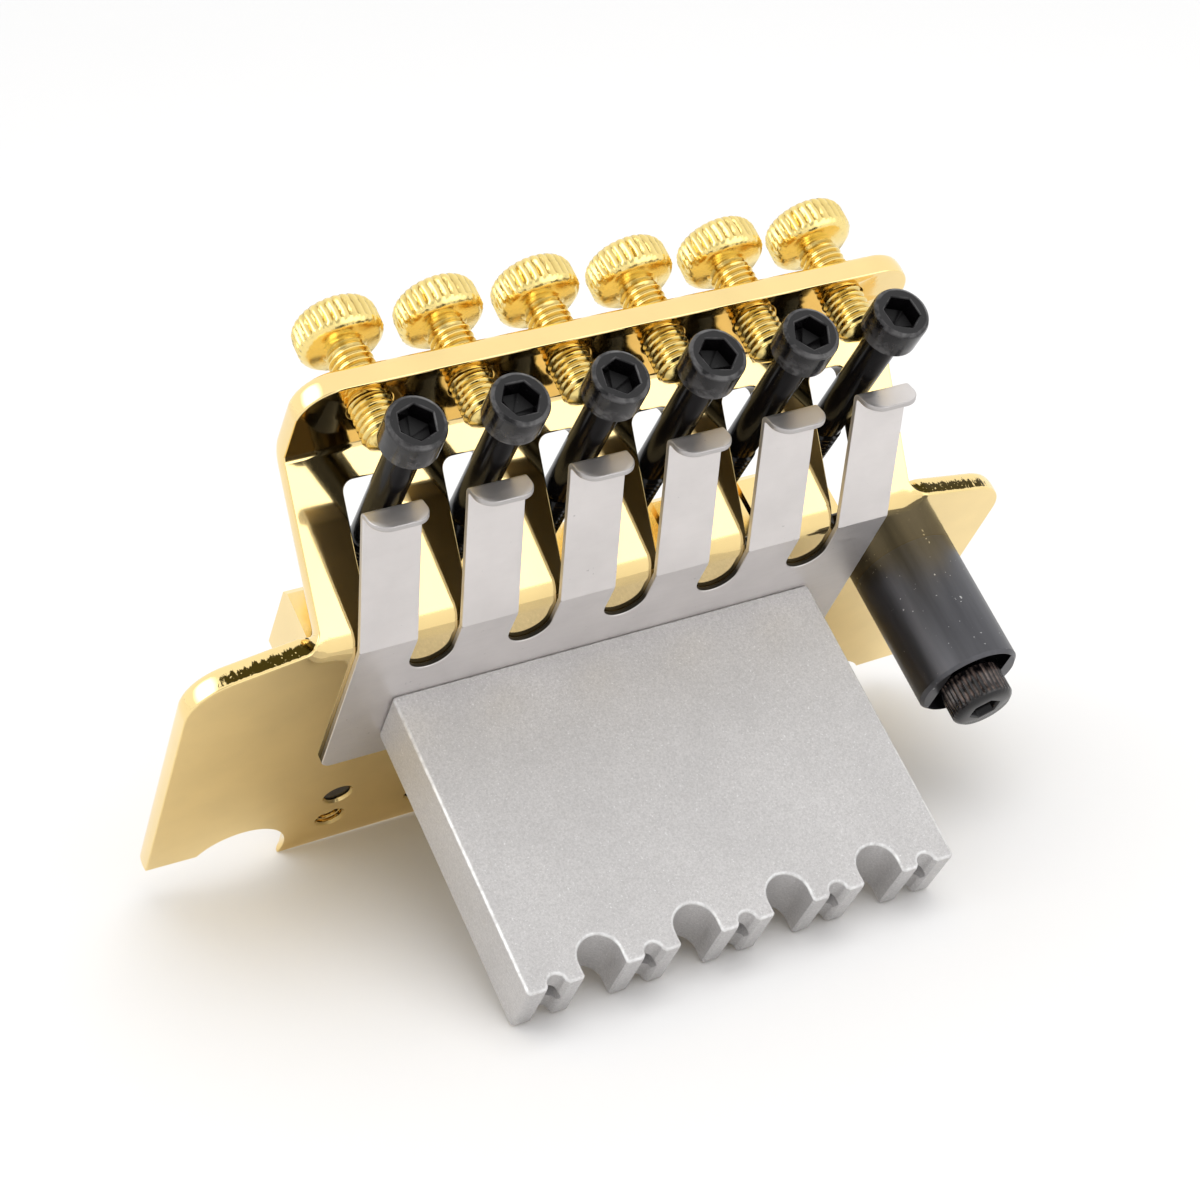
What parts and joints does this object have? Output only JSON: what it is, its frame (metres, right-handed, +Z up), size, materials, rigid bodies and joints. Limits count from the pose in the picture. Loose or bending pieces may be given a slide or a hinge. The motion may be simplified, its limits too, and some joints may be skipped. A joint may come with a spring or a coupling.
{
  "type": "guitar tremolo bridge",
  "caption": "Double-locking guitar tremolo bridge: knife-edge plate with upturned tail, knurled fine tuners, lock screws, leaf springs, hinged saddles, sustain block and arm sleeve.",
  "frame": {"origin": "middle of the line through both knife edges, on the underside of the plate", "axes": "+X to the treble side (the arm), +Y to the neck, +Z up from the guitar's body"},
  "size_m": [0.0952, 0.0688, 0.0609],
  "materials": {
    "gold_plate": "mirror-polished gold plating",
    "gold_screw": "polished gold plating, machined",
    "gold_saddle": "polished gold plating",
    "cast_zinc": "blasted raw cast zinc alloy",
    "spring_steel": "satin spring sheet",
    "steel_pin": "ground steel",
    "black_oxide": "black oxide, slightly oily",
    "black_sleeve": "satin black"
  },
  "bodies": {
    "base": {"base_plate": "gold_plate", "sustain_block": "cast_zinc", "block_screws": "black_oxide", "spring_comb": "spring_steel", "saddle_screws": "black_oxide", "arm_sleeve": "black_sleeve", "arm_nut": "black_sleeve"},
    "arm_tension": {"arm_tension_screw": "black_oxide"},
    "saddle_1": {"saddle_base_1": "gold_saddle", "saddle_pin_1": "steel_pin"},
    "holder_1": {"string_holder_1": "gold_saddle"},
    "lock_1": {"lock_screw_1": "black_oxide"},
    "clamp_1": {"clamp_block_1": "steel_pin"},
    "tuner_1": {"fine_tuner_1": "gold_screw"},
    "finger_1": {"spring_finger_1": "spring_steel"},
    "saddle_2": {"saddle_base_2": "gold_saddle", "saddle_pin_2": "steel_pin"},
    "holder_2": {"string_holder_2": "gold_saddle"},
    "lock_2": {"lock_screw_2": "black_oxide"},
    "clamp_2": {"clamp_block_2": "steel_pin"},
    "tuner_2": {"fine_tuner_2": "gold_screw"},
    "finger_2": {"spring_finger_2": "spring_steel"},
    "saddle_3": {"saddle_base_3": "gold_saddle", "saddle_pin_3": "steel_pin"},
    "holder_3": {"string_holder_3": "gold_saddle"},
    "lock_3": {"lock_screw_3": "black_oxide"},
    "clamp_3": {"clamp_block_3": "steel_pin"},
    "tuner_3": {"fine_tuner_3": "gold_screw"},
    "finger_3": {"spring_finger_3": "spring_steel"},
    "saddle_4": {"saddle_base_4": "gold_saddle", "saddle_pin_4": "steel_pin"},
    "holder_4": {"string_holder_4": "gold_saddle"},
    "lock_4": {"lock_screw_4": "black_oxide"},
    "clamp_4": {"clamp_block_4": "steel_pin"},
    "tuner_4": {"fine_tuner_4": "gold_screw"},
    "finger_4": {"spring_finger_4": "spring_steel"},
    "saddle_5": {"saddle_base_5": "gold_saddle", "saddle_pin_5": "steel_pin"},
    "holder_5": {"string_holder_5": "gold_saddle"},
    "lock_5": {"lock_screw_5": "black_oxide"},
    "clamp_5": {"clamp_block_5": "steel_pin"},
    "tuner_5": {"fine_tuner_5": "gold_screw"},
    "finger_5": {"spring_finger_5": "spring_steel"},
    "saddle_6": {"saddle_base_6": "gold_saddle", "saddle_pin_6": "steel_pin"},
    "holder_6": {"string_holder_6": "gold_saddle"},
    "lock_6": {"lock_screw_6": "black_oxide"},
    "clamp_6": {"clamp_block_6": "steel_pin"},
    "tuner_6": {"fine_tuner_6": "gold_screw"},
    "finger_6": {"spring_finger_6": "spring_steel"}
  },
  "joints": [
    {"name": "arm_tension_set", "type": "slide", "parent": "base", "child": "arm_tension", "axis": [0, 0, 1], "range_m": [-0.001, 0.002]},
    {"name": "intonation_1", "type": "slide", "parent": "base", "child": "saddle_1", "axis": [0, 1, 0], "range_m": [-0.0015, 0.0015]},
    {"name": "fine_tune_1", "type": "slide", "parent": "base", "child": "tuner_1", "axis": [0, 0.0436, -0.999], "range_m": [-0.0008, 0.0025]},
    {"name": "holder_turn_1", "type": "hinge", "parent": "saddle_1", "child": "holder_1", "pos_m": [-0.0265, -0.012, 0.0072], "axis": [1, 0, 0], "range_deg": [-1.2, 3.7]},
    {"name": "finger_bend_1", "type": "hinge", "parent": "base", "child": "finger_1", "pos_m": [-0.0274, -0.0348, -0.0003], "axis": [1, 0, 0], "range_deg": [-3.3, 10.2]},
    {"name": "string_lock_1", "type": "slide", "parent": "holder_1", "child": "lock_1", "axis": [0, 0.9966, 0.0828], "range_m": [-0.0015, 0.0003]},
    {"name": "clamp_slide_1", "type": "slide", "parent": "holder_1", "child": "clamp_1", "axis": [0, 0.9966, 0.0828], "range_m": [-0.0016, 0.00035]},
    {"name": "intonation_2", "type": "slide", "parent": "base", "child": "saddle_2", "axis": [0, 1, 0], "range_m": [-0.0015, 0.0015]},
    {"name": "fine_tune_2", "type": "slide", "parent": "base", "child": "tuner_2", "axis": [0, 0.0436, -0.999], "range_m": [-0.0008, 0.0025]},
    {"name": "holder_turn_2", "type": "hinge", "parent": "saddle_2", "child": "holder_2", "pos_m": [-0.0159, -0.012, 0.0072], "axis": [1, 0, 0], "range_deg": [-1.2, 3.7]},
    {"name": "finger_bend_2", "type": "hinge", "parent": "base", "child": "finger_2", "pos_m": [-0.0164, -0.0348, -0.0003], "axis": [1, 0, 0], "range_deg": [-3.3, 10.2]},
    {"name": "string_lock_2", "type": "slide", "parent": "holder_2", "child": "lock_2", "axis": [0, 0.9966, 0.0828], "range_m": [-0.0015, 0.0003]},
    {"name": "clamp_slide_2", "type": "slide", "parent": "holder_2", "child": "clamp_2", "axis": [0, 0.9966, 0.0828], "range_m": [-0.0016, 0.00035]},
    {"name": "intonation_3", "type": "slide", "parent": "base", "child": "saddle_3", "axis": [0, 1, 0], "range_m": [-0.0015, 0.0015]},
    {"name": "fine_tune_3", "type": "slide", "parent": "base", "child": "tuner_3", "axis": [0, 0.0436, -0.999], "range_m": [-0.0008, 0.0025]},
    {"name": "holder_turn_3", "type": "hinge", "parent": "saddle_3", "child": "holder_3", "pos_m": [-0.0053, -0.012, 0.0072], "axis": [1, 0, 0], "range_deg": [-1.2, 3.7]},
    {"name": "finger_bend_3", "type": "hinge", "parent": "base", "child": "finger_3", "pos_m": [-0.0054, -0.0348, -0.0003], "axis": [1, 0, 0], "range_deg": [-3.3, 10.2]},
    {"name": "string_lock_3", "type": "slide", "parent": "holder_3", "child": "lock_3", "axis": [0, 0.9966, 0.0828], "range_m": [-0.0015, 0.0003]},
    {"name": "clamp_slide_3", "type": "slide", "parent": "holder_3", "child": "clamp_3", "axis": [0, 0.9966, 0.0828], "range_m": [-0.0016, 0.00035]},
    {"name": "intonation_4", "type": "slide", "parent": "base", "child": "saddle_4", "axis": [0, 1, 0], "range_m": [-0.0015, 0.0015]},
    {"name": "fine_tune_4", "type": "slide", "parent": "base", "child": "tuner_4", "axis": [0, 0.0436, -0.999], "range_m": [-0.0008, 0.0025]},
    {"name": "holder_turn_4", "type": "hinge", "parent": "saddle_4", "child": "holder_4", "pos_m": [0.0053, -0.012, 0.0072], "axis": [1, 0, 0], "range_deg": [-1.2, 3.7]},
    {"name": "finger_bend_4", "type": "hinge", "parent": "base", "child": "finger_4", "pos_m": [0.0056, -0.0348, -0.0003], "axis": [1, 0, 0], "range_deg": [-3.3, 10.2]},
    {"name": "string_lock_4", "type": "slide", "parent": "holder_4", "child": "lock_4", "axis": [0, 0.9966, 0.0828], "range_m": [-0.0015, 0.0003]},
    {"name": "clamp_slide_4", "type": "slide", "parent": "holder_4", "child": "clamp_4", "axis": [0, 0.9966, 0.0828], "range_m": [-0.0016, 0.00035]},
    {"name": "intonation_5", "type": "slide", "parent": "base", "child": "saddle_5", "axis": [0, 1, 0], "range_m": [-0.0015, 0.0015]},
    {"name": "fine_tune_5", "type": "slide", "parent": "base", "child": "tuner_5", "axis": [0, 0.0436, -0.999], "range_m": [-0.0008, 0.0025]},
    {"name": "holder_turn_5", "type": "hinge", "parent": "saddle_5", "child": "holder_5", "pos_m": [0.0159, -0.012, 0.0072], "axis": [1, 0, 0], "range_deg": [-1.2, 3.7]},
    {"name": "finger_bend_5", "type": "hinge", "parent": "base", "child": "finger_5", "pos_m": [0.0166, -0.0348, -0.0003], "axis": [1, 0, 0], "range_deg": [-3.3, 10.2]},
    {"name": "string_lock_5", "type": "slide", "parent": "holder_5", "child": "lock_5", "axis": [0, 0.9966, 0.0828], "range_m": [-0.0015, 0.0003]},
    {"name": "clamp_slide_5", "type": "slide", "parent": "holder_5", "child": "clamp_5", "axis": [0, 0.9966, 0.0828], "range_m": [-0.0016, 0.00035]},
    {"name": "intonation_6", "type": "slide", "parent": "base", "child": "saddle_6", "axis": [0, 1, 0], "range_m": [-0.0015, 0.0015]},
    {"name": "fine_tune_6", "type": "slide", "parent": "base", "child": "tuner_6", "axis": [0, 0.0436, -0.999], "range_m": [-0.0008, 0.0025]},
    {"name": "holder_turn_6", "type": "hinge", "parent": "saddle_6", "child": "holder_6", "pos_m": [0.0265, -0.012, 0.0072], "axis": [1, 0, 0], "range_deg": [-1.2, 3.7]},
    {"name": "finger_bend_6", "type": "hinge", "parent": "base", "child": "finger_6", "pos_m": [0.0276, -0.0348, -0.0003], "axis": [1, 0, 0], "range_deg": [-3.3, 10.2]},
    {"name": "string_lock_6", "type": "slide", "parent": "holder_6", "child": "lock_6", "axis": [0, 0.9966, 0.0828], "range_m": [-0.0015, 0.0003]},
    {"name": "clamp_slide_6", "type": "slide", "parent": "holder_6", "child": "clamp_6", "axis": [0, 0.9966, 0.0828], "range_m": [-0.0016, 0.00035]}
  ],
  "couplings": [
    {"joint": "holder_turn_1", "follows": "fine_tune_1", "rad_per_m": 25.2},
    {"joint": "finger_bend_1", "follows": "fine_tune_1", "rad_per_m": 69},
    {"joint": "clamp_slide_1", "follows": "string_lock_1", "ratio": 1},
    {"joint": "holder_turn_2", "follows": "fine_tune_2", "rad_per_m": 25.2},
    {"joint": "finger_bend_2", "follows": "fine_tune_2", "rad_per_m": 69},
    {"joint": "clamp_slide_2", "follows": "string_lock_2", "ratio": 1},
    {"joint": "holder_turn_3", "follows": "fine_tune_3", "rad_per_m": 25.2},
    {"joint": "finger_bend_3", "follows": "fine_tune_3", "rad_per_m": 69},
    {"joint": "clamp_slide_3", "follows": "string_lock_3", "ratio": 1},
    {"joint": "holder_turn_4", "follows": "fine_tune_4", "rad_per_m": 25.2},
    {"joint": "finger_bend_4", "follows": "fine_tune_4", "rad_per_m": 69},
    {"joint": "clamp_slide_4", "follows": "string_lock_4", "ratio": 1},
    {"joint": "holder_turn_5", "follows": "fine_tune_5", "rad_per_m": 25.2},
    {"joint": "finger_bend_5", "follows": "fine_tune_5", "rad_per_m": 69},
    {"joint": "clamp_slide_5", "follows": "string_lock_5", "ratio": 1},
    {"joint": "holder_turn_6", "follows": "fine_tune_6", "rad_per_m": 25.2},
    {"joint": "finger_bend_6", "follows": "fine_tune_6", "rad_per_m": 69},
    {"joint": "clamp_slide_6", "follows": "string_lock_6", "ratio": 1}
  ]
}
